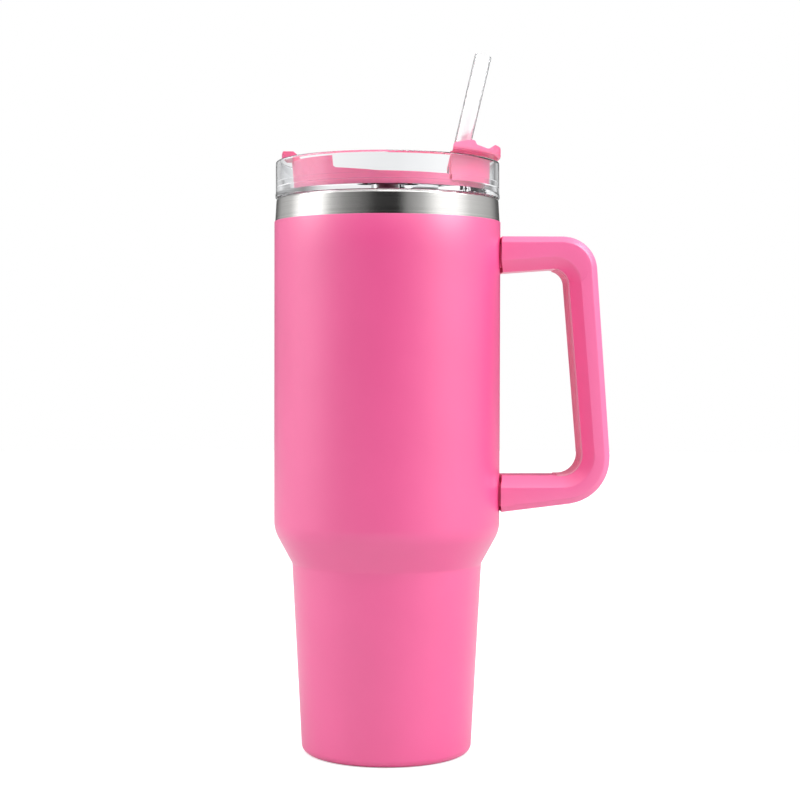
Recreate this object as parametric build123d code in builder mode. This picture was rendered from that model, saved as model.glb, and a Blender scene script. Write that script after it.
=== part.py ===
"""Insulated tumbler with a side handle, a press-in clear lid, a turning cover and a straw.

Frame: origin at the centre of the base, +Z up the body axis, +X towards the handle, millimetres.
"""
import os
from math import cos
from math import radians
from math import sin
from math import tan

from build123d import *

os.makedirs("parts", exist_ok=True)

# Coated outside of the body
body_r = 49.7
foot_r = 37.3
foot_corner = 3.4
waist_r = 41.75
waist_z = 83.3
shoulder_z = 98.0
shoulder_round = 15.0
waist_round = 3.0
coat_top_z = 233.2
coat_bottom_z = 0.1
coat_t = 0.35

# Steel walls
shell_t = 0.6
shell_base_bore_r = 30.0
rim_r = 48.75
rim_z = 243.3
rim_round = 1.4
rim_seam_r = 47.2
liner_t = 0.5
liner_floor_z = 7.3
liner_foot_r = 33.0
liner_corner = 6.0
liner_waist_r = 37.1
liner_waist_z = 84.5
liner_shoulder_z = 99.5
liner_r = 45.5
mouth_r = 46.2
mouth_step_z = 224.0
mouth_step_h = 3.0

# Base parts
plate_r = 31.8
plate_t = 0.6
dimple_r = 6.0
dimple_h = 1.8
seal_hole_r = 1.0
bead_r = 3.2
bead_h = 1.1
getter_x = 17.0
getter_r = 5.0
getter_h = 2.0
getter_round = 0.6
cover_r = 29.7
cover_t = 0.55
cover_chamfer = 0.2

# Handle frame, drawn in the XZ plane
handle_w = 26.0
arm_top_z = 226.8
arm_bottom_z = 106.2
arm_bottom_rise = 6.1
bar_top_x = 90.5
bar_bottom_x = 98.6
arm_under_z = 211.3
arm_under_rise = 2.0
gap_top_x = 78.5
gap_bottom_x = 86.1
low_arm_top_z = 122.2
outer_top_round = 15.0
outer_low_round = 20.0
inner_top_round = 7.0
inner_low_round = 9.0
arm_end_r = 51.0
arm_end_stock = 3.0
arm_outer_depth = 9.0
outer_chamfer = 2.6
inner_chamfer = 4.8
inner_chamfer_side = 5.0

# Soft grip set into the inner face of the handle
grip_w = 17.0
grip_depth = 1.6
grip_proud = 0.35
grip_start_x = 73.5
grip_play = 0.05
grip_groove_w = 1.7
grip_groove_d = 0.9
grip_groove_pitch = 4.2
grip_groove_end = 2.0

# Handle fastening, measured upwards from the underside of each arm at the screw
screw_x = 60.0
arm_levels = (212.0, 107.4)
tongue_w = 12.0
tongue_low = 5.0
tongue_t = 2.6
tongue_end_x = 67.0
saddle_w = 18.0
saddle_h = 10.0
saddle_t = 1.0
saddle_play = 0.02
tongue_round = 2.0
slot_play = 0.2
head_r = 3.5
head_low = 1.6
head_h = 2.0
bore_r = 4.0
shank_r = 2.0
shank_hole_r = 2.2
shank_top = 12.4
insert_r = 2.8
insert_low = 8.0
insert_h = 4.6
plug_h = 1.2
plug_gap = 0.1
plug_play = 0.05
socket_r = 1.4
socket_h = 1.2
press_play = 0.03
hole_run = 3.0

# Lid body
lid_r = 49.1
lid_foot_z = 243.5
lid_top_z = 259.4
lid_wall = 2.2
lid_edge_round = 1.0
lid_foot_r = 49.25
lid_foot_h = 1.6
lid_foot_in = 1.0
shoulder_rings = ((43.0, 248.2), (45.6, 250.4))
deck_top_z = 246.0
neck_r = 44.6
neck_wall = 2.0
neck_low_z = 230.0
neck_end_round = 0.5
seal_groove_z = 234.0
seal_groove_h = 5.0
seal_groove_d = 1.0
pivot_bore_r = 5.0
pivot_boss_r = 9.0
pivot_boss_low_z = 241.5
lug_count = 6
lug_angle = 26.0
lug_r = 45.5
lug_h = 3.5
lug_root = 0.3

# Lid gasket
gasket_body_r = 45.1
gasket_lip_r = 46.05
gasket_play = 0.05
gasket_lip_round = 0.3

# Turning cover: a low dish with a raised block at each end and a valley between them
rotor_turn = 70.0
rotor_low_z = 246.3
rotor_under_z = 247.0
rotor_floor_z = 249.2
rotor_lip_z = 251.0
lip_rise = 2.6
lip_mid_x = -5.0
valley_round = 2.2
lip_bend = 40.0
rotor_foot_r = 40.9
rotor_r = 42.0
rotor_wall = 2.0
block_top_z = 258.6
web_top_z = 252.4
web_w = 20.0
small_block_x = -24.0
large_block_x = 25.0
large_block_low_z = 248.5
large_block_slant = 4.2
large_block_r = 38.4
large_block_shift = 6.6
hub_r = 4.93
hub_low_z = 238.5
clip_low_z = 239.6
clip_t = 1.6
clip_r = 8.0
clip_seat_r = 4.0
clip_gap = 5.0
clip_play = 0.05

# Thumb ledge over the large block and the small tab on the other one
ledge_r = 49.7
ledge_rim_round = 0.9
ledge_turn = 2.9
ledge_in_x = 28.2
ledge_low_z = 260.9
ledge_top_z = 263.3
ledge_hump_x = 35.3
ledge_hump_end_x = 37.4
ledge_hump_z = 265.3
ledge_dip_x = 38.4
ledge_dip_z = 263.6
ledge_dip_low = 0.9
ledge_lip_x = 46.6
ledge_lip_z = 265.3
ledge_lip_run = 3.0
ledge_in_round = 1.6
ledge_rounds = (2.0, 0.7, 0.6, 2.0, 0.8)
ledge_under_round = 1.3
small_tab_w = 18.0
small_tab_in_x = -38.0
small_tab_stem_x = -41.2
small_tab_out_x = -46.5
small_tab_low_z = 260.3
small_tab_top_z = 263.2
small_tab_round = 1.1
small_tab_root = 0.4

# Straw and the holes it runs through
cut_run = 1.0
straw_r = 3.7
straw_bore_r = 2.85
straw_tilt = 13.1
straw_deck_r = 27.9
straw_low_z = 11.0
straw_top_z = 307.0
straw_end_round = 0.3
straw_play = 0.3
straw_room = 7.0
deck_slot_half = 5.0
deck_slot_r = 27.6
sip_arc = 16.0
sip_half = 4.4

# Seal pad under the cover
pad_low_z = 246.15
pad_top_z = 246.95
pad_in_r = 5.5
pad_out_r = 38.6


def wall_points(shift, floor):
    """Outline of the body wall, moved in towards the axis by shift and starting at height floor."""
    return [
        (shell_base_bore_r, floor),
        (foot_r - shift, floor),
        (waist_r - shift, waist_z),
        (body_r - shift, shoulder_z),
        (body_r - shift, coat_top_z),
    ]


def wall_rounds(shift):
    return [foot_corner - shift, waist_round + shift, shoulder_round]


def straw_x(z):
    """Distance from the body axis to the straw's centre line at height z."""
    return straw_deck_r + (z - deck_top_z) * tan(radians(straw_tilt))


straw_line = (sin(radians(straw_tilt)), 0, cos(radians(straw_tilt)))


def straw_round(radius, low, high):
    """Round that follows the straw's line between two heights, with level ends."""
    with BuildPart(mode=Mode.PRIVATE) as made:
        with BuildSketch(Plane.XY.offset(low)):
            with Locations((straw_x(low), 0)):
                Ellipse(radius / cos(radians(straw_tilt)), radius)
        extrude(amount=(high - low) / cos(radians(straw_tilt)), dir=straw_line)
    return made.part


def ring_profile(inner, outer, low, high):
    """Half section of a plain ring."""
    width = outer - inner
    with Locations(((inner + outer) / 2, (low + high) / 2)):
        Rectangle(width, high - low)


# ------------------------------------------------------------------ body
with BuildPart() as outer_shell:
    with BuildSketch(Plane.XZ):
        with BuildLine():
            outer = FilletPolyline(*wall_points(coat_t, 0), radius=wall_rounds(coat_t))
            outer_rim = FilletPolyline(
                outer @ 1, (rim_r, rim_z), (rim_seam_r, rim_z), radius=rim_round
            )
            inner = FilletPolyline(
                *wall_points(coat_t + shell_t, shell_t), radius=wall_rounds(coat_t + shell_t)
            )
            inner_rim = FilletPolyline(
                inner @ 1, (rim_r - shell_t, rim_z - shell_t), (rim_seam_r, rim_z - shell_t),
                radius=rim_round - shell_t,
            )
            Line(outer @ 0, inner @ 0)
            Line(outer_rim @ 1, inner_rim @ 1)
        make_face()
    revolve(axis=Axis.Z)
outer_shell.part.label = "outer_shell"

with BuildPart() as powder_coat:
    with BuildSketch(Plane.XZ):
        with BuildLine():
            outer = FilletPolyline(*wall_points(0, 0), radius=wall_rounds(0))
            inner = FilletPolyline(*wall_points(coat_t, 0), radius=wall_rounds(coat_t))
            Line(outer @ 1, inner @ 1)
        make_face()
        with Locations((foot_r / 2, coat_bottom_z / 2)):
            Rectangle(2 * foot_r, coat_bottom_z, mode=Mode.SUBTRACT)
    revolve(axis=Axis.Z)
powder_coat.part.label = "powder_coat"


def liner_points(shift):
    """Outline of the liner, moved outwards by shift."""
    return [
        (0, liner_floor_z - shift),
        (liner_foot_r + shift, liner_floor_z - shift),
        (liner_waist_r + shift, liner_waist_z),
        (liner_r + shift, liner_shoulder_z),
        (liner_r + shift, mouth_step_z),
        (mouth_r + shift, mouth_step_z + mouth_step_h),
    ]


liner_rounds = (liner_corner, waist_round, shoulder_round, mouth_step_h / 2)

with BuildPart() as inner_liner:
    with BuildSketch(Plane.XZ):
        with BuildLine():
            inner = FilletPolyline(*liner_points(0), radius=liner_rounds)
            inner_rim = FilletPolyline(
                inner @ 1, (mouth_r, rim_z), (rim_seam_r, rim_z), radius=shell_t
            )
            outer = FilletPolyline(*liner_points(liner_t), radius=liner_rounds)
            outer_rim = Polyline(
                outer @ 1, (mouth_r + liner_t, rim_z - shell_t), (rim_seam_r, rim_z - shell_t)
            )
            Line(outer @ 0, inner @ 0)
            Line(outer_rim @ 1, inner_rim @ 1)
        make_face()
    revolve(axis=Axis.Z)
inner_liner.part.label = "inner_liner"

with BuildPart() as base_plate:
    with BuildSketch(Plane.XZ):
        with BuildLine():
            Polyline(
                (seal_hole_r, shell_t + dimple_h), (dimple_r, shell_t + dimple_h),
                (dimple_r + dimple_h, shell_t), (plate_r, shell_t),
                (plate_r, shell_t + plate_t), (dimple_r + dimple_h + plate_t / 2, shell_t + plate_t),
                (dimple_r + plate_t / 2, shell_t + dimple_h + plate_t),
                (seal_hole_r, shell_t + dimple_h + plate_t), close=True,
            )
        make_face()
    revolve(axis=Axis.Z)
base_plate.part.label = "base_plate"

with BuildPart() as seal_bead:
    bead_top = shell_t + dimple_h
    with BuildSketch(Plane.XZ):
        with BuildLine():
            Polyline(
                (0, bead_top - bead_h), (bead_r * 0.6, bead_top - 0.8 * bead_h), (bead_r, bead_top),
                (seal_hole_r, bead_top), (seal_hole_r, bead_top + plate_t), (0, bead_top + plate_t),
                close=True,
            )
        make_face()
    revolve(axis=Axis.Z)
seal_bead.part.label = "seal_bead"

with BuildPart() as getter:
    with BuildSketch(Plane.XY.offset(shell_t + plate_t)):
        with Locations((getter_x, 0)):
            Circle(getter_r)
    extrude(amount=getter_h)
    fillet(getter.edges().group_by(Axis.Z)[-1], getter_round)
getter.part.label = "getter"

with BuildPart() as base_cover:
    with BuildSketch(Plane.XY):
        Circle(cover_r)
    extrude(amount=cover_t)
    chamfer(base_cover.edges().group_by(Axis.Z)[0], cover_chamfer)
base_cover.part.label = "base_cover"

# ------------------------------------------------------------------ handle
select_play = 0.5
gap_outline = (
    (0, arm_under_z - 2 * arm_under_rise), (gap_top_x, arm_under_z + arm_under_rise),
    (gap_bottom_x, low_arm_top_z), (0, low_arm_top_z),
)


def gap_face(grow):
    """Outline of the finger gap in the XZ plane, grown outwards by grow."""
    with BuildSketch(Plane.XZ, mode=Mode.PRIVATE) as gap:
        with BuildLine():
            FilletPolyline(*gap_outline, radius=(inner_top_round, inner_low_round))
            Line(gap_outline[-1], gap_outline[0])
        make_face()
        if grow:
            offset(amount=grow)
    return gap.sketch


def borders_gap(edge):
    """True for the edges of a side face that run round the finger gap."""
    centre = edge.center()
    in_height = low_arm_top_z - select_play < centre.Z < arm_under_z + arm_under_rise + select_play
    return in_height and arm_end_r - arm_end_stock + select_play < centre.X < gap_bottom_x


def on_outer_face(edge):
    """True for the edges of a side face that run round the outside of the handle."""
    centre = edge.center()
    on_top = centre.Z > arm_top_z - arm_outer_depth
    on_bottom = centre.Z < arm_bottom_z + arm_outer_depth
    on_bar = centre.X > bar_top_x - select_play
    return centre.X > arm_end_r - arm_end_stock + select_play and (on_top or on_bottom or on_bar)


with BuildPart() as handle:
    with BuildSketch(Plane.XZ):
        with BuildLine():
            top_line = FilletPolyline(
                (0, arm_top_z), (bar_top_x, arm_top_z), (bar_bottom_x, arm_bottom_z + arm_bottom_rise),
                (0, arm_bottom_z - arm_bottom_rise), radius=(outer_top_round, outer_low_round),
            )
            Line(top_line @ 1, top_line @ 0)
        make_face()
        add(gap_face(0), mode=Mode.SUBTRACT)
        with Locations((0, (arm_top_z + arm_bottom_z) / 2)):
            Rectangle(2 * (arm_end_r - arm_end_stock), 2 * arm_top_z, mode=Mode.SUBTRACT)
    extrude(amount=handle_w / 2, both=True)
    for end in (0, -1):
        side = handle.faces().sort_by(Axis.Y)[end]
        chamfer(
            side.edges().filter_by(borders_gap),
            length=inner_chamfer_side, length2=inner_chamfer, reference=side,
        )
    for end in (0, -1):
        side = handle.faces().sort_by(Axis.Y)[end]
        chamfer(side.edges().filter_by(on_outer_face), outer_chamfer)
    # hollowed end that follows the body
    with BuildSketch(Plane.XY.offset(arm_bottom_z - 20)):
        Circle(arm_end_r)
    extrude(amount=arm_top_z, mode=Mode.SUBTRACT)
    # seat of the grip
    with BuildSketch(Plane.XZ):
        add(gap_face(grip_depth + grip_play))
        with Locations((0, arm_under_z / 2)):
            Rectangle(2 * (grip_start_x - grip_play), 2 * arm_top_z, mode=Mode.SUBTRACT)
    extrude(amount=grip_w / 2 + grip_play, both=True, mode=Mode.SUBTRACT)
    # slot for each bracket tongue, and the screw's stepped hole from below
    for level in arm_levels:
        with BuildSketch(Plane.XY.offset(level + tongue_low - slot_play)):
            with Locations(((tongue_end_x + slot_play) / 2, 0)):
                Rectangle(tongue_end_x + slot_play, tongue_w + 2 * slot_play)
        extrude(amount=tongue_t + 2 * slot_play, mode=Mode.SUBTRACT)
        with BuildSketch(Plane.XY.offset(level - hole_run)):
            with Locations((screw_x, 0)):
                Circle(bore_r)
        extrude(amount=hole_run + head_low + head_h, mode=Mode.SUBTRACT)
        with BuildSketch(Plane.XY.offset(level)):
            with Locations((screw_x, 0)):
                Circle(shank_hole_r)
        extrude(amount=shank_top + slot_play, mode=Mode.SUBTRACT)
        with BuildSketch(Plane.XY.offset(level + insert_low)):
            with Locations((screw_x, 0)):
                Circle(insert_r)
        extrude(amount=insert_h, mode=Mode.SUBTRACT)
handle.part.label = "handle"

with BuildPart() as handle_grip:
    with BuildSketch(Plane.XZ):
        add(gap_face(grip_depth))
        add(gap_face(-grip_proud), mode=Mode.SUBTRACT)
        with Locations((0, arm_under_z / 2)):
            Rectangle(2 * grip_start_x, 2 * arm_top_z, mode=Mode.SUBTRACT)
    extrude(amount=grip_w / 2, both=True)
    for line in (-1, 0, 1):
        with BuildSketch(Plane.XZ.offset(line * grip_groove_pitch - grip_groove_w / 2)):
            add(gap_face(grip_groove_d - grip_proud))
            with Locations((0, arm_under_z / 2)):
                Rectangle(2 * (grip_start_x + grip_groove_end), 2 * arm_top_z, mode=Mode.SUBTRACT)
        extrude(amount=grip_groove_w, mode=Mode.SUBTRACT)
handle_grip.part.label = "handle_grip"


def bracket(level):
    """Steel bracket of one arm: a curved saddle on the body wall with a flat tongue."""
    tongue_mid = level + tongue_low + tongue_t / 2
    with BuildPart(mode=Mode.PRIVATE) as made:
        with BuildSketch(Plane.XY.offset(tongue_mid - saddle_h / 2)):
            Circle(body_r + saddle_t)
            Circle(body_r + saddle_play, mode=Mode.SUBTRACT)
            with Locations((body_r, 0)):
                Rectangle(body_r, saddle_w, mode=Mode.INTERSECT)
        extrude(amount=saddle_h)
        with BuildSketch(Plane.XY.offset(tongue_mid - tongue_t / 2)):
            with Locations(((body_r + tongue_end_x) / 2, 0)):
                Rectangle(tongue_end_x - body_r, tongue_w)
            Circle(body_r + saddle_t / 2, mode=Mode.SUBTRACT)
        extrude(amount=tongue_t)
        fillet(made.edges().filter_by(Axis.Z).group_by(Axis.X)[-1], tongue_round)
        with Locations((screw_x, 0, tongue_mid)):
            Cylinder(shank_hole_r, 2 * tongue_t, mode=Mode.SUBTRACT)
    return made.part


with BuildPart() as bracket_upper:
    add(bracket(arm_levels[0]))
bracket_upper.part.label = "bracket_upper"

with BuildPart() as bracket_lower:
    add(bracket(arm_levels[1]))
bracket_lower.part.label = "bracket_lower"

with BuildPart() as handle_screws:
    for level in arm_levels:
        with BuildSketch(Plane.XY.offset(level + head_low)):
            with Locations((screw_x, 0)):
                Circle(head_r)
        extrude(amount=head_h)
        with BuildSketch(Plane.XY.offset(level + head_low)):
            with Locations((screw_x, 0)):
                Circle(shank_r)
        extrude(amount=shank_top - head_low)
        with BuildSketch(Plane.XY.offset(level + head_low)):
            with Locations((screw_x, 0)):
                RegularPolygon(socket_r, 6)
        extrude(amount=socket_h, mode=Mode.SUBTRACT)
handle_screws.part.label = "handle_screws"

with BuildPart() as handle_inserts:
    for level in arm_levels:
        with BuildSketch(Plane.XY.offset(level + insert_low)):
            with Locations((screw_x, 0)):
                Circle(insert_r - press_play)
                Circle(shank_r + press_play, mode=Mode.SUBTRACT)
        extrude(amount=insert_h - press_play)
handle_inserts.part.label = "handle_inserts"

with BuildPart() as screw_plugs:
    for level in arm_levels:
        with BuildSketch(Plane.XY.offset(level + head_low - plug_h - plug_gap)):
            with Locations((screw_x, 0)):
                Circle(bore_r - plug_play)
        extrude(amount=plug_h)
screw_plugs.part.label = "screw_plugs"

# ------------------------------------------------------------------ lid
with BuildPart() as lid_body:
    with BuildSketch(Plane.XZ):
        ring_profile(pivot_bore_r, lid_r, lid_foot_z, deck_top_z)
        ring_profile(lid_r - lid_wall, lid_r, lid_foot_z, lid_top_z)
        ring_profile(lid_r - lid_foot_in, lid_foot_r, lid_foot_z, lid_foot_z + lid_foot_h)
        for shoulder_in, shoulder_top in shoulder_rings:
            ring_profile(shoulder_in, lid_r - lid_foot_in, lid_foot_z, shoulder_top)
        ring_profile(neck_r - neck_wall, neck_r, neck_low_z, lid_foot_z)
        ring_profile(pivot_bore_r, pivot_boss_r, pivot_boss_low_z, lid_foot_z)
        with Locations((neck_r, seal_groove_z + seal_groove_h / 2)):
            Rectangle(2 * seal_groove_d, seal_groove_h, mode=Mode.SUBTRACT)
    revolve(axis=Axis.Z)
    fillet(lid_body.edges().group_by(Axis.Z)[-1], lid_edge_round)
    fillet(lid_body.edges().filter_by(GeomType.CIRCLE).group_by(Axis.Z)[0], neck_end_round)
    # curved opening that the straw and the drinking hole share
    with BuildSketch(Plane.XY.offset(lid_foot_z - cut_run)):
        SlotArc(CenterArc((0, 0), deck_slot_r, 0, rotor_turn), 2 * deck_slot_half)
    extrude(amount=deck_top_z - lid_foot_z + 2 * cut_run, mode=Mode.SUBTRACT)
    # short lugs on the neck that centre the lid in the mouth
    for lug in range(lug_count):
        turn = lug * 360 / lug_count
        with BuildSketch(Plane.XY.offset(lid_foot_z - lug_h)):
            with BuildLine():
                near_arc = CenterArc((0, 0), neck_r - lug_root, turn, lug_angle)
                far_arc = CenterArc((0, 0), lug_r, turn, lug_angle)
                Line(near_arc @ 0, far_arc @ 0)
                Line(near_arc @ 1, far_arc @ 1)
            make_face()
        extrude(amount=lug_h)
lid_body.part.label = "lid_body"

with BuildPart() as lid_gasket:
    gasket_in = neck_r - seal_groove_d + gasket_play
    gasket_low = seal_groove_z + gasket_play
    gasket_high = seal_groove_z + seal_groove_h - gasket_play
    lip = (gasket_high - gasket_low) / 4
    with BuildSketch(Plane.XZ):
        with BuildLine():
            Polyline(
                (gasket_in, gasket_low), (gasket_body_r, gasket_low),
                (gasket_lip_r, gasket_low + lip), (gasket_body_r, gasket_low + 3 * lip / 2),
                (gasket_body_r, gasket_low + 5 * lip / 2), (gasket_lip_r, gasket_high - lip),
                (gasket_body_r, gasket_high), (gasket_in, gasket_high), close=True,
            )
        make_face()
    revolve(axis=Axis.Z)
    rings = lid_gasket.edges().filter_by(GeomType.CIRCLE)
    fillet(rings.filter_by(lambda ring: ring.radius > gasket_body_r + gasket_play), gasket_lip_round)
lid_gasket.part.label = "lid_gasket"

# ------------------------------------------------------------------ turning cover


def segment(radius, x_from, x_to):
    """Part of a disc between two chords."""
    with BuildSketch(mode=Mode.PRIVATE) as made:
        Circle(radius)
        with Locations(((x_from + x_to) / 2, 0)):
            Rectangle(x_to - x_from, 2 * radius, mode=Mode.INTERSECT)
    return made.sketch


def large_block_outline(wall):
    """Outline of the large block, moved inwards by wall: a disc set off towards the rim, cut at a slant."""
    near_x = large_block_x + wall
    with BuildSketch(mode=Mode.PRIVATE) as made:
        with Locations((large_block_shift, 0)):
            Circle(large_block_r - wall)
        with BuildSketch(mode=Mode.PRIVATE) as kept:
            Polygon(
                (near_x, -rotor_r), (near_x + large_block_slant, rotor_r),
                (2 * rotor_r, rotor_r), (2 * rotor_r, -rotor_r), align=None,
            )
        add(kept.sketch, mode=Mode.INTERSECT)
    return made.sketch


ledge_across = (cos(radians(ledge_turn)), -sin(radians(ledge_turn)), 0)
ledge_along = (-sin(radians(ledge_turn)), -cos(radians(ledge_turn)), 0)

with BuildPart() as rotor:
    with BuildSketch(Plane.XZ):
        with BuildLine():
            Polyline(
                (0, rotor_under_z), (rotor_foot_r - rotor_wall, rotor_under_z),
                (rotor_foot_r - rotor_wall, rotor_low_z), (rotor_foot_r, rotor_low_z),
                (rotor_r, block_top_z), (0, block_top_z), close=True,
            )
        make_face()
    revolve(axis=Axis.Z)
    # large block standing out towards the rim, with its inner wall at a slant
    with BuildSketch(Plane.XY.offset(large_block_low_z)):
        add(large_block_outline(0))
    extrude(amount=ledge_low_z - large_block_low_z)
    # valley: first down to the sloping lip, then the dish inside it, then the web across the middle
    with BuildPart(mode=Mode.PRIVATE) as valley:
        with BuildSketch(Plane.XZ):
            with BuildLine():
                lip = FilletPolyline(
                    (small_block_x, ledge_hump_z), (small_block_x, rotor_lip_z + lip_rise),
                    (lip_mid_x, rotor_lip_z + lip_rise / 4), (rotor_r, rotor_lip_z),
                    (rotor_r, ledge_hump_z), radius=(valley_round, lip_bend, valley_round),
                )
                Line(lip @ 1, lip @ 0)
            make_face()
        extrude(amount=rotor_r + rotor_wall, both=True)
        with BuildSketch(Plane.XY.offset(rotor_floor_z)):
            Polygon(
                (large_block_x, -rotor_r), (large_block_x + large_block_slant, rotor_r),
                (large_block_x + large_block_slant, 2 * rotor_r), (2 * rotor_r, 2 * rotor_r),
                (2 * rotor_r, -2 * rotor_r), (large_block_x, -2 * rotor_r), align=None,
            )
        extrude(amount=ledge_hump_z, mode=Mode.SUBTRACT)
    add(valley.part, mode=Mode.SUBTRACT)
    with BuildSketch(Plane.XY.offset(rotor_floor_z)):
        add(segment(rotor_foot_r - rotor_wall, small_block_x, rotor_r))
        add(large_block_outline(0), mode=Mode.SUBTRACT)
    extrude(amount=block_top_z, mode=Mode.SUBTRACT)
    with BuildSketch(Plane.XY.offset(rotor_floor_z - cut_run)):
        with Locations(((small_block_x + large_block_x) / 2, 0)):
            Rectangle(large_block_x - small_block_x + 2 * cut_run, web_w)
    extrude(amount=web_top_z - rotor_floor_z + cut_run)
    # thumb ledge, turned a little like the wall below: a hump round the straw, a hollow and a turned-up lip
    with BuildPart(mode=Mode.PRIVATE) as ledge:
        with BuildSketch(Plane((0, 0, 0), x_dir=ledge_across, z_dir=ledge_along)):
            with BuildLine():
                top = FilletPolyline(
                    (ledge_in_x, ledge_low_z), (ledge_in_x, ledge_top_z),
                    (ledge_hump_x, ledge_hump_z), (ledge_hump_end_x, ledge_hump_z),
                    (ledge_dip_x, ledge_dip_z), (ledge_lip_x - ledge_lip_run, ledge_dip_z - ledge_dip_low),
                    (ledge_lip_x, ledge_lip_z), (ledge_r, ledge_lip_z), (ledge_r, ledge_low_z),
                    radius=(ledge_in_round, *ledge_rounds, ledge_rim_round),
                )
                Line(top @ 1, top @ 0)
            make_face()
        extrude(amount=ledge_r, both=True)
        with BuildSketch(Plane.XY.offset(ledge_low_z - cut_run)):
            Circle(ledge_r)
        extrude(amount=ledge_hump_z - ledge_low_z + 2 * cut_run, mode=Mode.INTERSECT)
        fillet(ledge.edges().filter_by(GeomType.CIRCLE).group_by(Axis.Z)[0], ledge_under_round)
    add(ledge.part)
    # small tab: a stem up from the block, leaning out as far as the rim
    with BuildPart(mode=Mode.PRIVATE) as small_tab:
        with BuildSketch(Plane.XZ):
            with BuildLine():
                outline = FilletPolyline(
                    (small_tab_in_x, block_top_z - cut_run), (small_tab_in_x, small_tab_low_z),
                    (small_tab_stem_x, small_tab_top_z), (small_tab_out_x, small_tab_top_z),
                    (small_tab_out_x, small_tab_low_z), (small_tab_stem_x, small_tab_low_z),
                    (small_tab_stem_x, block_top_z - cut_run),
                    radius=(small_tab_root, *[small_tab_round] * 3, small_tab_root),
                )
                Line(outline @ 1, outline @ 0)
            make_face()
        extrude(amount=small_tab_w / 2, both=True)
        with BuildSketch(Plane.XY.offset(block_top_z - 2 * cut_run)):
            Circle(-small_tab_out_x)
        extrude(amount=small_tab_top_z - block_top_z + 3 * cut_run, mode=Mode.INTERSECT)
    add(small_tab.part)
    # hollow undersides of the blocks
    hollow_r = rotor_foot_r - rotor_wall
    with BuildSketch(Plane.XY.offset(rotor_under_z - cut_run)):
        add(large_block_outline(rotor_wall))
        Circle(hollow_r, mode=Mode.INTERSECT)
        Rectangle(4 * rotor_r, 2 * straw_room, mode=Mode.SUBTRACT)
        add(segment(hollow_r, -rotor_r, small_block_x - rotor_wall))
    extrude(amount=block_top_z - rotor_wall - rotor_under_z + cut_run, mode=Mode.SUBTRACT)
    # hub through the lid with a groove for the clip
    with BuildSketch(Plane.XY.offset(hub_low_z)):
        Circle(hub_r)
    extrude(amount=rotor_under_z - hub_low_z)
    with BuildSketch(Plane.XY.offset(clip_low_z - clip_play)):
        Circle(hub_r + cut_run)
        Circle(clip_seat_r, mode=Mode.SUBTRACT)
    extrude(amount=clip_t + 2 * clip_play, mode=Mode.SUBTRACT)
    # straw hole and drinking hole
    add(straw_round(straw_r + straw_play, rotor_low_z - cut_run, ledge_hump_z + cut_run), mode=Mode.SUBTRACT)
    with BuildSketch(Plane.XY.offset(rotor_under_z - cut_run)):
        SlotArc(CenterArc((0, 0), deck_slot_r, -rotor_turn - sip_arc / 2, sip_arc), 2 * sip_half)
    extrude(amount=rotor_floor_z - rotor_under_z + 2 * cut_run, mode=Mode.SUBTRACT)
rotor.part.label = "rotor"

with BuildPart() as rotor_seal:
    with BuildSketch(Plane.XY.offset(pad_low_z)):
        Circle(pad_out_r)
        Circle(pad_in_r, mode=Mode.SUBTRACT)
        SlotArc(
            CenterArc((0, 0), deck_slot_r, -rotor_turn - sip_arc / 2, sip_arc), 2 * sip_half,
            mode=Mode.SUBTRACT,
        )
    extrude(amount=pad_top_z - pad_low_z)
    add(straw_round(straw_r + straw_play, pad_low_z - cut_run, pad_top_z + cut_run), mode=Mode.SUBTRACT)
rotor_seal.part.label = "rotor_seal"

with BuildPart() as rotor_clip:
    with BuildSketch(Plane.XY.offset(clip_low_z)):
        Circle(clip_r)
        Circle(clip_seat_r + clip_play, mode=Mode.SUBTRACT)
        with Locations((clip_r / 2 + cut_run, 0)):
            Rectangle(clip_r + 2 * cut_run, clip_gap, mode=Mode.SUBTRACT)
    extrude(amount=clip_t)
rotor_clip.part.label = "rotor_clip"

# ------------------------------------------------------------------ straw
straw_length = (straw_top_z - straw_low_z) / cos(radians(straw_tilt))

with BuildPart() as straw:
    with BuildSketch(Plane(origin=(straw_x(straw_low_z), 0, straw_low_z), z_dir=straw_line)):
        Circle(straw_r)
        Circle(straw_bore_r, mode=Mode.SUBTRACT)
    extrude(amount=straw_length)
    fillet(straw.edges().group_by(Axis.Z)[-1], straw_end_round)
straw.part.label = "straw"

pieces = (
    outer_shell, powder_coat, inner_liner, base_plate, seal_bead, getter, base_cover,
    handle, handle_grip, bracket_upper, bracket_lower, handle_screws, handle_inserts, screw_plugs,
    lid_body, lid_gasket, rotor, rotor_seal, rotor_clip, straw,
)
for piece in pieces:
    export_step(piece.part, "parts/" + piece.part.label + ".step")
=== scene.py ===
from math import cos
from math import pi
from math import radians
from math import sin
from math import sqrt
from math import tan

import bmesh
import bpy
from mathutils import Matrix
from mathutils import Vector


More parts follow.
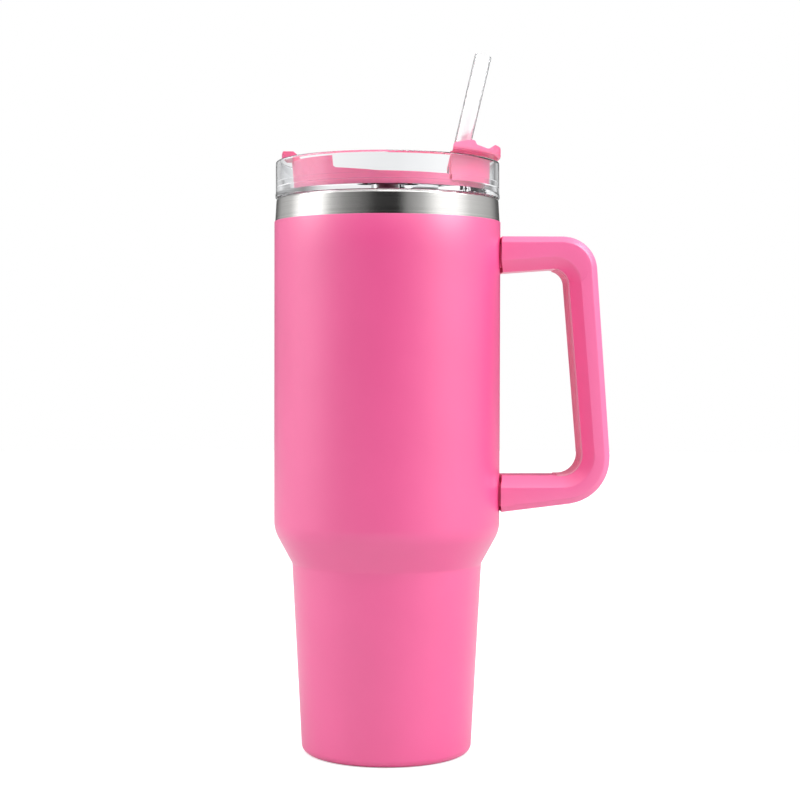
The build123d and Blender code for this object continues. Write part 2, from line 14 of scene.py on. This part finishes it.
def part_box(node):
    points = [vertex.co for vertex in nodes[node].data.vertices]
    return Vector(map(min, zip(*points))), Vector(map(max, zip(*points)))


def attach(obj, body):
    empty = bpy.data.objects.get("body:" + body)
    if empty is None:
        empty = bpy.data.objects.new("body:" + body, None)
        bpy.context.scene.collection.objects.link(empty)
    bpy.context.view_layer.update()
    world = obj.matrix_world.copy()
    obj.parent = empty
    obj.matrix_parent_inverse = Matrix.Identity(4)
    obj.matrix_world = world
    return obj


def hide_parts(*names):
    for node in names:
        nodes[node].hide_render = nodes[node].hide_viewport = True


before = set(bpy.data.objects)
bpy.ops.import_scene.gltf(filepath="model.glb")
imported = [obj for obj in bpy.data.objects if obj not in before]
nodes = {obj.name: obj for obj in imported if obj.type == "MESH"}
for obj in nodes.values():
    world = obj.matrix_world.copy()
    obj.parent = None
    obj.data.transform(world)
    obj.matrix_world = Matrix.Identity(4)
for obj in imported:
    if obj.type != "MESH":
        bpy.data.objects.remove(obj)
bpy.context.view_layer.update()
scene = bpy.context.scene
MM = 0.001


# ---------------------------------------------------------------- node helpers
def new_material(name):
    mat = bpy.data.materials.new(name)
    mat.use_nodes = True
    mat.node_tree.nodes.clear()
    return mat


def link(mat, out, into):
    mat.node_tree.links.new(out, into)


def ramp(mat, fac, stops):
    node = mat.node_tree.nodes.new("ShaderNodeValToRGB")
    elements = node.color_ramp.elements
    while len(elements) < len(stops):
        elements.new(0.5)
    for element, (position, colour) in zip(elements, stops):
        element.position = position
        element.color = (*colour, 1)
    link(mat, fac, node.inputs["Fac"])
    return node.outputs["Color"]


def grey(value):
    return (value, value, value)


def object_coords(mat, scale=(1, 1, 1)):
    coords = mat.node_tree.nodes.new("ShaderNodeTexCoord")
    mapping = mat.node_tree.nodes.new("ShaderNodeMapping")
    mapping.inputs["Scale"].default_value = scale
    link(mat, coords.outputs["Object"], mapping.inputs["Vector"])
    return mapping.outputs["Vector"]


def noise(mat, coords, scale, detail=2.0, roughness=0.5):
    node = mat.node_tree.nodes.new("ShaderNodeTexNoise")
    node.inputs["Scale"].default_value = scale
    node.inputs["Detail"].default_value = detail
    node.inputs["Roughness"].default_value = roughness
    link(mat, coords, node.inputs["Vector"])
    return node.outputs["Fac"]


def bump(mat, height, distance):
    node = mat.node_tree.nodes.new("ShaderNodeBump")
    node.inputs["Distance"].default_value = distance
    link(mat, height, node.inputs["Height"])
    return node.outputs["Normal"]


def principled(mat, **values):
    shader = mat.node_tree.nodes.new("ShaderNodeBsdfPrincipled")
    for key, value in values.items():
        shader.inputs[key].default_value = value
    out = mat.node_tree.nodes.new("ShaderNodeOutputMaterial")
    link(mat, shader.outputs["BSDF"], out.inputs["Surface"])
    return shader


# ---------------------------------------------------------------- materials
COLOUR_DRIFT = 28
GLOSS_DRIFT = 60
CLEAR_DRIFT = 40
CLEAR_FLOW = (60, 60, 22)
CLEAR_FLOW_DEPTH = 0.00004
BRUSHED_DARK = 0.86
CLEAR_DARK = 0.97


def satin(name, dark, light, roughness, spread=0.04, grain=0.0, grain_scale=3000, extra=None):
    """Coloured coat or moulded plastic: slight colour drift, uneven gloss and a fine grain."""
    mat = new_material(name)
    shader = principled(mat, **(extra or {}))
    coords = object_coords(mat)
    drift = noise(mat, coords, COLOUR_DRIFT, 3)
    link(mat, ramp(mat, drift, [(0.3, dark), (0.7, light)]), shader.inputs["Base Color"])
    gloss = noise(mat, coords, GLOSS_DRIFT, 4, 0.6)
    low, high = grey(roughness - spread), grey(roughness + spread)
    link(mat, ramp(mat, gloss, [(0.3, low), (0.7, high)]), shader.inputs["Roughness"])
    if grain:
        fine = noise(mat, coords, grain_scale, 2, 0.6)
        link(mat, bump(mat, fine, grain), shader.inputs["Normal"])
    return mat


def brushed(name, tint, roughness, lines=(4, 4, 2600), depth=0.00002, anisotropy=0.6):
    """Steel brushed round the body: fine level lines in colour, gloss and relief."""
    mat = new_material(name)
    shader = principled(mat, Metallic=1.0, Anisotropic=anisotropy)
    coords = object_coords(mat, lines)
    streak = noise(mat, coords, 1.0, 4, 0.65)
    dark = tuple(BRUSHED_DARK * c for c in tint)
    link(mat, ramp(mat, streak, [(0.3, dark), (0.7, tint)]), shader.inputs["Base Color"])
    low, high = grey(roughness - 0.05), grey(roughness + 0.06)
    link(mat, ramp(mat, streak, [(0.3, low), (0.7, high)]), shader.inputs["Roughness"])
    link(mat, bump(mat, streak, depth), shader.inputs["Normal"])
    tangent = mat.node_tree.nodes.new("ShaderNodeTangent")
    tangent.direction_type = "RADIAL"
    tangent.axis = "Z"
    link(mat, tangent.outputs["Tangent"], shader.inputs["Tangent"])
    return mat


def clear_plastic(name, tint, roughness, ior, shade, clarity=1.0):
    """Clear moulded plastic that lets lamps through, with faint flow marks."""
    mat = new_material(name)
    tree_nodes = mat.node_tree.nodes
    shader = tree_nodes.new("ShaderNodeBsdfPrincipled")
    shader.inputs["Transmission Weight"].default_value = clarity
    shader.inputs["IOR"].default_value = ior
    coords = object_coords(mat)
    drift = noise(mat, coords, CLEAR_DRIFT, 2)
    dim = tuple(CLEAR_DARK * c for c in tint)
    link(mat, ramp(mat, drift, [(0.3, dim), (0.7, tint)]), shader.inputs["Base Color"])
    flow = noise(mat, object_coords(mat, CLEAR_FLOW), 1.0, 3)
    low, high = grey(max(roughness - 0.01, 0)), grey(roughness + 0.02)
    link(mat, ramp(mat, flow, [(0.35, low), (0.75, high)]), shader.inputs["Roughness"])
    link(mat, bump(mat, flow, CLEAR_FLOW_DEPTH), shader.inputs["Normal"])
    through = tree_nodes.new("ShaderNodeBsdfTransparent")
    through.inputs["Color"].default_value = (*shade, 1)
    path = tree_nodes.new("ShaderNodeLightPath")
    mix = tree_nodes.new("ShaderNodeMixShader")
    link(mat, path.outputs["Is Shadow Ray"], mix.inputs["Fac"])
    link(mat, shader.outputs["BSDF"], mix.inputs[1])
    link(mat, through.outputs["BSDF"], mix.inputs[2])
    out = tree_nodes.new("ShaderNodeOutputMaterial")
    link(mat, mix.outputs["Shader"], out.inputs["Surface"])
    return mat


coat = satin(
    "coat", (0.86, 0.066, 0.285), (0.90, 0.073, 0.305), 0.42, 0.03, 0.000012, 2600,
    {"Specular IOR Level": 1.0, "Coat Weight": 1.0, "Coat Roughness": 0.42},
)
steel = brushed("steel", (0.83, 0.82, 0.80), 0.17, (3, 3, 1500), 0.000001, 0.0)
steel_inside = brushed("steel_inside", (0.72, 0.72, 0.71), 0.30, (6, 6, 1200), 0.000002, 0.3)
handle_pink = satin(
    "handle_pink", (0.97, 0.138, 0.375), (1.0, 0.150, 0.402), 0.40, 0.03, 0.000006, 2200,
    {"Specular IOR Level": 1.0, "Coat Weight": 0.8, "Coat Roughness": 0.40},
)
grip_pink = satin("grip_pink", (0.80, 0.30, 0.42), (0.86, 0.34, 0.47), 0.55, 0.06, 0.00003, 1500)
cover_pink = satin(
    "cover_pink", (1.0, 0.185, 0.370), (1.0, 0.205, 0.395), 0.34, 0.03, 0.000004, 1800,
    {"Subsurface Weight": 0.15, "Subsurface Scale": 0.003, "Specular IOR Level": 0.8},
)
clear = clear_plastic("clear", (0.925, 0.935, 0.950), 0.012, 1.50, (0.975, 0.98, 0.985))
straw_clear = clear_plastic("straw_clear", (0.93, 0.935, 0.94), 0.12, 1.49, (0.88, 0.89, 0.90), 0.86)
silicone = satin("silicone", (0.66, 0.68, 0.70), (0.72, 0.73, 0.75), 0.5, 0.05, 0.00001, 1500)
cover_seal = satin("cover_seal", (0.84, 0.11, 0.24), (0.90, 0.14, 0.28), 0.5, 0.05, 0.00001, 1500)
plain_steel = brushed("plain_steel", (0.42, 0.42, 0.43), 0.35, (90, 90, 90), 0.000004, 0.0)
brass = brushed("brass", (0.70, 0.50, 0.22), 0.3, (300, 300, 300), 0.00001, 0.0)
dark_rubber = satin("dark_rubber", (0.030, 0.030, 0.032), (0.045, 0.045, 0.048), 0.7, 0.05, 0.00003, 1500)
sealant = satin("sealant", (0.24, 0.22, 0.19), (0.32, 0.30, 0.26), 0.6, 0.05, 0.00003, 900)
white_plastic = satin("white_plastic", (0.74, 0.75, 0.76), (0.80, 0.81, 0.82), 0.4, 0.05, 0.00001, 1500)

node_material = {
    "outer_shell": steel, "powder_coat": coat, "inner_liner": steel_inside,
    "base_plate": plain_steel, "seal_bead": sealant, "getter": plain_steel, "base_cover": dark_rubber,
    "bracket_upper": coat, "bracket_lower": coat, "handle": handle_pink,
    "handle_grip": grip_pink, "handle_screws": plain_steel, "handle_inserts": brass,
    "screw_plugs": grip_pink, "lid_body": clear, "lid_gasket": silicone, "rotor": cover_pink,
    "rotor_seal": cover_seal, "rotor_clip": white_plastic, "straw": straw_clear,
}
for name, mat in node_material.items():
    for material_slot in nodes[name].material_slots:
        material_slot.material = mat


# ---------------------------------------------------------------- mesh helpers, in millimetres
def rounded(corners, radii, steps=10, rest=4):
    """Polyline with filleted corners, as points with their left-hand normals."""
    corners = [Vector(c) for c in corners]
    made = []
    place = corners[0]
    for index, radius in enumerate(radii, 1):
        before = (corners[index] - corners[index - 1]).normalized()
        after = (corners[index + 1] - corners[index]).normalized()
        turn = before.angle_signed(after)
        reach = radius * tan(abs(turn) / 2)
        start = corners[index] - before * reach
        side = Vector((-before.y, before.x))
        for step in range(rest):
            made.append((place.lerp(start, step / rest), side))
        hand = -1 if turn > 0 else 1
        centre = start + side * radius * hand
        for step in range(steps + 1):
            angle = -turn * step / steps
            across = Vector((
                side.x * cos(angle) - side.y * sin(angle), side.x * sin(angle) + side.y * cos(angle),
            ))
            made.append((centre - across * radius * hand, across))
        place = corners[index] + after * reach
    last = (corners[-1] - corners[-2]).normalized()
    side = Vector((-last.y, last.x))
    for step in range(1, rest + 1):
        made.append((place.lerp(corners[-1], step / rest), side))
    return made


def points_of(path, shift=0.0):
    return [place + side * shift for place, side in path]


def lathe(bm, profile, steps):
    """Closed half section turned about the Z axis."""
    rings = []
    for radius, height in profile:
        if radius < 1e-6:
            rings.append([bm.verts.new((0, 0, height))])
            continue
        rings.append([
            bm.verts.new((radius * cos(2 * pi * k / steps), radius * sin(2 * pi * k / steps), height))
            for k in range(steps)
        ])
    for low, high in zip(rings, rings[1:] + rings[:1]):
        for k in range(steps):
            face = [low[k % len(low)], low[(k + 1) % steps % len(low)],
                    high[(k + 1) % steps % len(high)], high[k % len(high)]]
            face = list(dict.fromkeys(face))
            if len(face) > 2:
                bm.faces.new(face)


def tube(bm, loops):
    """Closed surface over loops of equal length that follow each other round a section; returns its lines."""
    rows = [[bm.verts.new(p) for p in loop] for loop in loops]
    lines = []
    for near, far in zip(rows, rows[1:] + rows[:1]):
        for k in range(len(near) - 1):
            bm.faces.new((near[k], near[k + 1], far[k + 1], far[k]))
    for row in rows:
        for first, second in zip(row, row[1:]):
            lines.append(bm.edges.get((first, second)))
    bm.faces.new([row[0] for row in rows])
    bm.faces.new([row[-1] for row in reversed(rows)])
    return lines


def piece(name, bm, mat, body, replaced, sharp=30, matrix=None):
    """Makes the shown object of a mesh drawn in millimetres."""
    bmesh.ops.recalc_face_normals(bm, faces=bm.faces)
    mesh = bpy.data.meshes.new(name)
    if matrix is not None:
        bm.transform(matrix)
    bm.transform(Matrix.Scale(MM, 4))
    bm.to_mesh(mesh)
    bm.free()
    mesh.shade_smooth()
    mesh.set_sharp_from_angle(angle=radians(sharp))
    mesh.materials.append(mat)
    obj = bpy.data.objects.new(name, mesh)
    scene.collection.objects.link(obj)
    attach(obj, body)
    if replaced:
        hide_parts(*replaced)
    return obj


def far_corner(node):
    """Highest x, y and z of a node, in millimetres."""
    return Vector(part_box(node)[1]) / MM


# ---------------------------------------------------------------- body
coat_high = far_corner("powder_coat")
shell_high = far_corner("outer_shell")
BODY_R = coat_high.x
COAT_TOP = coat_high.z
COAT_T = coat_high.x - shell_high.x
RIM_Z = shell_high.z
FOOT_R = 37.3
FOOT_ROUND = 3.4
WAIST = (41.75, 83.3)
SHOULDER_Z = 98.0
RIM_R = 48.75
RIM_ROUND = 1.4
SEAM_R = 47.2
SHELL_T = 0.6
BORE_R = 30.0
COAT_EDGE = 0.15
COAT_FOOT = 0.1
TURN_STEPS = 288


def wall_path(top):
    """Outside of the body from the resting ring up to a height."""
    corners = [(BORE_R, 0), (FOOT_R, 0), WAIST, (BODY_R, SHOULDER_Z), (BODY_R, top)]
    return rounded(corners, (FOOT_ROUND, 3.0, 15.0), 16, 8)


def coat_mesh():
    bm = bmesh.new()
    path = [(p, n) for p, n in wall_path(COAT_TOP) if p.y > COAT_FOOT]
    outside = points_of(path)
    inside = points_of(path, COAT_T)
    outside[-1] = Vector((BODY_R, COAT_TOP - COAT_EDGE))
    edge = [
        Vector((BODY_R - COAT_EDGE / 3, COAT_TOP - COAT_EDGE / 3)), Vector((BODY_R - COAT_EDGE, COAT_TOP)),
    ]
    lathe(bm, [(p.x, p.y) for p in outside + edge + inside[::-1]], TURN_STEPS)
    return bm


def shell_mesh():
    bm = bmesh.new()
    path = wall_path(COAT_TOP)
    start = points_of(path, COAT_T)[-1]
    rim = rounded([start, (RIM_R, RIM_Z), (SEAM_R, RIM_Z)], (RIM_ROUND,), 10, 6)
    outside = points_of(path, COAT_T) + points_of(rim)[1:]
    inside = points_of(path, COAT_T + SHELL_T) + points_of(rim, SHELL_T)[1:]
    inside = [Vector((p.x, max(p.y, SHELL_T))) for p in inside]
    lathe(bm, [(p.x, p.y) for p in outside + inside[::-1]], TURN_STEPS)
    return bm


piece("coat", coat_mesh(), coat, "cup", ["powder_coat"])
piece("shell", shell_mesh(), steel, "cup", ["outer_shell"])

# ---------------------------------------------------------------- handle and grip
handle_high = far_corner("handle")
HALF_W = handle_high.y
ARM_TOP = handle_high.z
OUTER_CORNERS = ((0, ARM_TOP), (90.5, ARM_TOP), (98.6, 112.3), (0, 100.1))
INNER_CORNERS = ((0, 207.3), (78.5, 213.3), (86.1, 122.2), (0, 122.2))
OUTER_ROUNDS = (15.0, 20.0)
INNER_ROUNDS = (7.0, 9.0)
END_R = 51.0
OUTER_BEVEL = 2.6
INNER_BEVEL = 5.0
INNER_BEVEL_W = 4.8
EDGE_ROUND = 0.45
END_GAP = 0.5
GRIP_W = 17.0
GRIP_START_X = 73.5
GRIP_DEPTH = 1.6
GRIP_PROUD = 0.35
GRIP_EDGE = 0.3
GROOVES = (-4.2, 0.0, 4.2)
GROOVE_W = 1.7
GROOVE_D = 0.9
GROOVE_ROUND = 0.25
GROOVE_LIP = 0.2


def run_along(path, shift, across):
    """Line of the handle at a shift from its outline, ending on the round of the body."""
    line = points_of(path, shift)
    stop = sqrt(END_R ** 2 - across ** 2)
    for end, inner in ((0, 1), (-1, -2)):
        slope = (line[end] - line[inner]).normalized()
        line[end] = line[end] + slope * (stop - line[end].x) / slope.x
    kept = [line[0]] + [p for p in line[1:-1] if p.x > stop + END_GAP] + [line[-1]]
    return kept


def handle_mesh():
    bm = bmesh.new()
    outer = rounded(OUTER_CORNERS, OUTER_ROUNDS, 24, 1)
    inner = rounded(INNER_CORNERS, INNER_ROUNDS, 24, 1)
    section = (
        (outer, 0, OUTER_BEVEL - HALF_W), (outer, 0, HALF_W - OUTER_BEVEL),
        (outer, -OUTER_BEVEL, HALF_W), (inner, INNER_BEVEL, HALF_W),
        (inner, 0, HALF_W - INNER_BEVEL_W), (inner, 0, INNER_BEVEL_W - HALF_W),
        (inner, INNER_BEVEL, -HALF_W), (outer, -OUTER_BEVEL, -HALF_W),
    )
    loops = [
        [(p.x, across, p.y) for p in run_along(path, shift, across)] for path, shift, across in section
    ]
    lines = tube(bm, loops)
    bmesh.ops.bevel(
        bm, geom=lines, offset=EDGE_ROUND, segments=3, profile=0.5, affect="EDGES", clamp_overlap=True
    )
    return bm


def grip_mesh():
    bm = bmesh.new()
    path = rounded(INNER_CORNERS, INNER_ROUNDS, 40, 40)
    half = GRIP_W / 2
    section = [(-half, GRIP_DEPTH), (-half, GRIP_EDGE - GRIP_PROUD), (GRIP_EDGE - half, -GRIP_PROUD)]
    for middle in GROOVES:
        near, far = middle - GROOVE_W / 2, middle + GROOVE_W / 2
        depth = GROOVE_D - GRIP_PROUD
        section += [
            (near - GROOVE_ROUND, -GRIP_PROUD), (near, GROOVE_LIP - GRIP_PROUD),
            (near, depth - GROOVE_ROUND), (near + GROOVE_ROUND, depth),
            (far - GROOVE_ROUND, depth), (far, depth - GROOVE_ROUND),
            (far, GROOVE_LIP - GRIP_PROUD), (far + GROOVE_ROUND, -GRIP_PROUD),
        ]
    section += [(half - GRIP_EDGE, -GRIP_PROUD), (half, GRIP_EDGE - GRIP_PROUD), (half, GRIP_DEPTH)]
    kept = [(p, n) for p, n in path if p.x >= GRIP_START_X]
    loops = [[(p.x, across, p.y) for p in points_of(kept, shift)] for across, shift in section]
    tube(bm, loops)
    return bm


piece("handle_frame", handle_mesh(), handle_pink, "cup", ["handle"])
piece("grip_insert", grip_mesh(), grip_pink, "cup", ["handle_grip"], 35)

# ---------------------------------------------------------------- straw
STRAW_R = 3.7
STRAW_BORE_R = 2.85
STRAW_TILT = 13.1
STRAW_DECK_X = 27.9
STRAW_DECK_Z = 246.0
STRAW_LOW_Z = 11.0
STRAW_TOP_Z = 307.0
STRAW_LOW_EDGE = 0.2
STRAW_LIP_OUTSIDE = ((0, 0.3), (0.12, 0.08), (0.35, 0))
STRAW_LIP_INSIDE = ((0.25, 0), (0.05, 0.08), (0, 0.25))
STRAW_STEPS = 96


def straw_mesh():
    bm = bmesh.new()
    length = (STRAW_TOP_Z - STRAW_LOW_Z) / cos(radians(STRAW_TILT))
    outline = [
        (STRAW_BORE_R, STRAW_LOW_EDGE), (STRAW_BORE_R + STRAW_LOW_EDGE, 0),
        (STRAW_R - STRAW_LOW_EDGE, 0), (STRAW_R, STRAW_LOW_EDGE),
    ]
    outline += [(STRAW_R - inward, length - down) for inward, down in STRAW_LIP_OUTSIDE]
    outline += [(STRAW_BORE_R + outward, length - down) for outward, down in STRAW_LIP_INSIDE]
    lathe(bm, outline, STRAW_STEPS)
    return bm


low_x = STRAW_DECK_X + (STRAW_LOW_Z - STRAW_DECK_Z) * tan(radians(STRAW_TILT))
straw_place = Matrix.Translation((low_x, 0, STRAW_LOW_Z)) @ Matrix.Rotation(radians(STRAW_TILT), 4, "Y")
piece("straw_tube", straw_mesh(), straw_clear, "straw", ["straw"], 30, straw_place)

# ---------------------------------------------------------------- floor, lights and camera
FLOOR_R = 2.6
FLOOR_GLOW = 0.62


def floor_piece():
    """Pale round floor whose glow is seen straight or through clear plastic, but lights nothing."""
    mesh = bpy.data.meshes.new("floor")
    bm = bmesh.new()
    bmesh.ops.create_circle(bm, cap_ends=True, segments=128, radius=FLOOR_R)
    bm.to_mesh(mesh)
    bm.free()
    obj = bpy.data.objects.new("floor", mesh)
    scene.collection.objects.link(obj)
    mat = new_material("floor")
    shader = principled(mat)
    shader.inputs["Roughness"].default_value = 0.9
    shader.inputs["Specular IOR Level"].default_value = 0.2
    shader.inputs["Emission Color"].default_value = (1, 1, 1, 1)
    lit = mat.node_tree.nodes.new("ShaderNodeLightPath")
    glow = mat.node_tree.nodes.new("ShaderNodeMath")
    glow.operation = "MULTIPLY"
    glow.inputs[1].default_value = FLOOR_GLOW
    either = mat.node_tree.nodes.new("ShaderNodeMath")
    either.operation = "MAXIMUM"
    link(mat, lit.outputs["Is Camera Ray"], either.inputs[0])
    link(mat, lit.outputs["Is Transmission Ray"], either.inputs[1])
    link(mat, either.outputs["Value"], glow.inputs[0])
    link(mat, glow.outputs["Value"], shader.inputs["Emission Strength"])
    coords = object_coords(mat)
    shade = ramp(mat, noise(mat, coords, 2), [(0.3, grey(0.64)), (0.7, grey(0.67))])
    link(mat, shade, shader.inputs["Base Color"])
    mesh.materials.append(mat)
    return obj


floor_piece()


def softbox(name, bearing, distance, height, width, tall, power, aim_height):
    """Area lamp at a bearing from the near side, positive towards the handle, turned to the object."""
    lamp = bpy.data.lights.new(name, "AREA")
    lamp.shape = "RECTANGLE"
    lamp.size = width
    lamp.size_y = tall
    lamp.energy = power
    obj = bpy.data.objects.new(name, lamp)
    scene.collection.objects.link(obj)
    angle = radians(bearing)
    obj.location = (distance * sin(angle), -distance * cos(angle), height)
    aim = Vector((0, 0, aim_height)) - obj.location
    obj.rotation_euler = aim.to_track_quat("-Z", "Y").to_euler()
    return obj


softbox("overhead", 180, 0.05, 2.2, 5.0, 5.0, 44, 0)
softbox("key_right", 70, 1.6, 1.5, 1.2, 1.2, 24, 0.15)
softbox("fill_left", -95, 1.6, 1.5, 1.0, 1.0, 14, 0.15)
softbox("front_top", 12, 1.3, 1.7, 1.2, 0.8, 4, 0.15)

# Brightness of the room by bearing, from the near side and positive towards the handle: dark straight
# behind the camera, a light area to each side, dim on the far side
ROOM = (
    (-180, 0.10), (-160, 0.12), (-142, 0.45), (-118, 0.62), (-104, 1.45), (-74, 1.55), (-62, 0.60),
    (-46, 0.30), (-28, 0.16), (-14, 0.03), (10, 0.01), (18, 0.28), (34, 0.50), (52, 1.30),
    (74, 1.35), (92, 0.70), (130, 0.45), (150, 0.10), (180, 0.10),
)
ROOM_TOP = 0.6
ROOM_STRENGTH = 1.0
TOP_START = 0.45
TOP_GAIN = 2.5
FAR_START = 0.80
FAR_GAIN = 8.0

world = bpy.data.worlds.new("studio")
scene.world = world
world.use_nodes = True
tree = world.node_tree
tree.nodes.clear()


def math_node(kind, first, second=None, clamp=False):
    node = tree.nodes.new("ShaderNodeMath")
    node.operation = kind
    node.use_clamp = clamp
    for socket, value in zip(node.inputs, (first, second)):
        if value is None:
            continue
        if isinstance(value, (int, float)):
            socket.default_value = value
        else:
            tree.links.new(value, socket)
    return node.outputs["Value"]


coords = tree.nodes.new("ShaderNodeTexCoord")
split = tree.nodes.new("ShaderNodeSeparateXYZ")
tree.links.new(coords.outputs["Generated"], split.inputs["Vector"])
toward = math_node("MULTIPLY", split.outputs["Y"], -1.0)
angle = math_node("ARCTAN2", split.outputs["X"], toward)
turn = math_node("ADD", math_node("MULTIPLY", angle, 1 / (2 * pi)), 0.5)
room = tree.nodes.new("ShaderNodeValToRGB")
stops = room.color_ramp.elements
while len(stops) < len(ROOM):
    stops.new(0.5)
for stop, (bearing, level) in zip(stops, ROOM):
    stop.position = bearing / 360 + 0.5
    stop.color = (*grey(level), 1)
tree.links.new(turn, room.inputs["Fac"])
rise = math_node("MULTIPLY", math_node("SUBTRACT", split.outputs["Z"], TOP_START), TOP_GAIN, True)
blend = tree.nodes.new("ShaderNodeMix")
blend.data_type = "RGBA"
tree.links.new(rise, blend.inputs["Factor"])
tree.links.new(room.outputs["Color"], blend.inputs["A"])
blend.inputs["B"].default_value = (*grey(ROOM_TOP), 1)
fill = tree.nodes.new("ShaderNodeBackground")
tree.links.new(blend.outputs["Result"], fill.inputs["Color"])
fill.inputs["Strength"].default_value = ROOM_STRENGTH
seen = tree.nodes.new("ShaderNodeBackground")
seen.inputs["Color"].default_value = (1, 1, 1, 1)
seen.inputs["Strength"].default_value = 1.0
path = tree.nodes.new("ShaderNodeLightPath")
ahead = math_node("MULTIPLY", math_node("SUBTRACT", split.outputs["Y"], FAR_START), FAR_GAIN, True)
through = math_node("MULTIPLY", path.outputs["Is Transmission Ray"], ahead)
plain = math_node("MAXIMUM", path.outputs["Is Camera Ray"], through)
mix = tree.nodes.new("ShaderNodeMixShader")
tree.links.new(plain, mix.inputs["Fac"])
tree.links.new(fill.outputs["Background"], mix.inputs[1])
tree.links.new(seen.outputs["Background"], mix.inputs[2])
surface = tree.nodes.new("ShaderNodeOutputWorld")
tree.links.new(mix.outputs["Shader"], surface.inputs["Surface"])

CAMERA_DISTANCE = 0.760
CAMERA_HEIGHT = 0.17165
CAMERA_BEARING = -1.75
CAMERA_PAN = 0.43
CAMERA_PITCH = 1.25
CAMERA_LENS = 77.43
CAMERA_ROLL = 0.14

camera_data = bpy.data.cameras.new("camera")
camera_data.lens = CAMERA_LENS
camera_data.sensor_width = 36
camera_data.clip_start = 0.01
camera = bpy.data.objects.new("camera", camera_data)
scene.collection.objects.link(camera)
bearing = radians(CAMERA_BEARING)
camera.location = (CAMERA_DISTANCE * sin(bearing), -CAMERA_DISTANCE * cos(bearing), CAMERA_HEIGHT)
facing = Matrix.Rotation(bearing - radians(CAMERA_PAN), 3, "Z")
tilted = facing @ Matrix.Rotation(radians(90 - CAMERA_PITCH), 3, "X")
camera.rotation_euler = (tilted @ Matrix.Rotation(radians(CAMERA_ROLL), 3, "Z")).to_euler()
scene.camera = camera
scene.view_settings.view_transform = "Standard"
